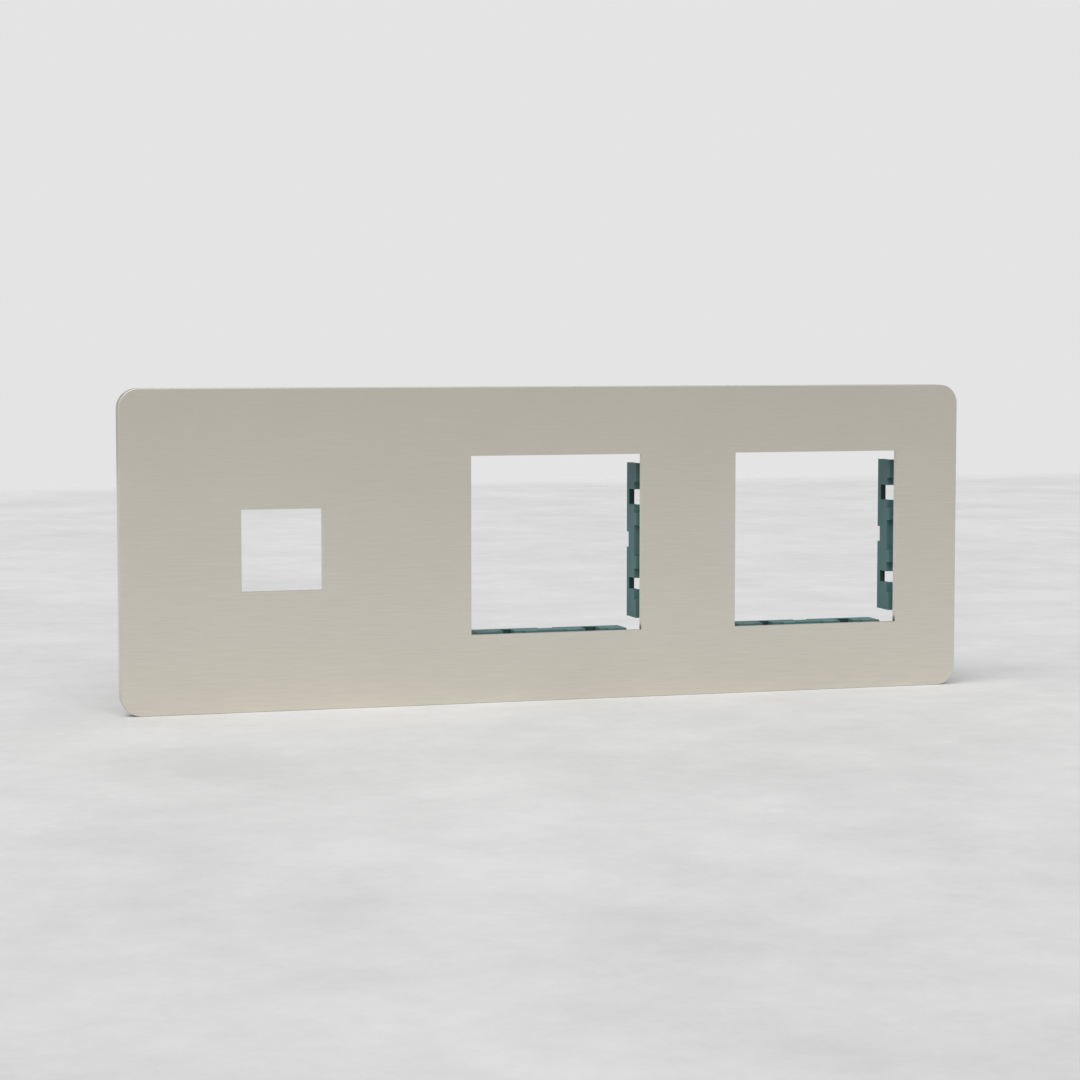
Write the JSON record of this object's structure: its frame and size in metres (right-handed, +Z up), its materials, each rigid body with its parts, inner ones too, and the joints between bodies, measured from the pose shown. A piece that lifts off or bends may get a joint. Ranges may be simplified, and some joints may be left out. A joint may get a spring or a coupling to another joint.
{
  "type": "wall plate",
  "caption": "Brushed metal wall plate with a small square opening and larger module openings, each backed by a moulded snap-in frame that screws to a wall box.",
  "frame": {"origin": "centre of the middle position, on the wall plane at the back of the plate", "axes": "+X along the plate towards the right-hand position, +Y into the wall, +Z up"},
  "size_m": [0.222, 0.0113, 0.08],
  "materials": {
    "brushed_metal": "fine horizontal brushing, warm nickel tone",
    "frame_plastic": "moulded, fine satin texture, grey teal"
  },
  "bodies": {
    "root": {"face_plate": "brushed_metal", "support_frame_middle": "frame_plastic", "support_frame_right": "frame_plastic"}
  },
  "joints": []
}
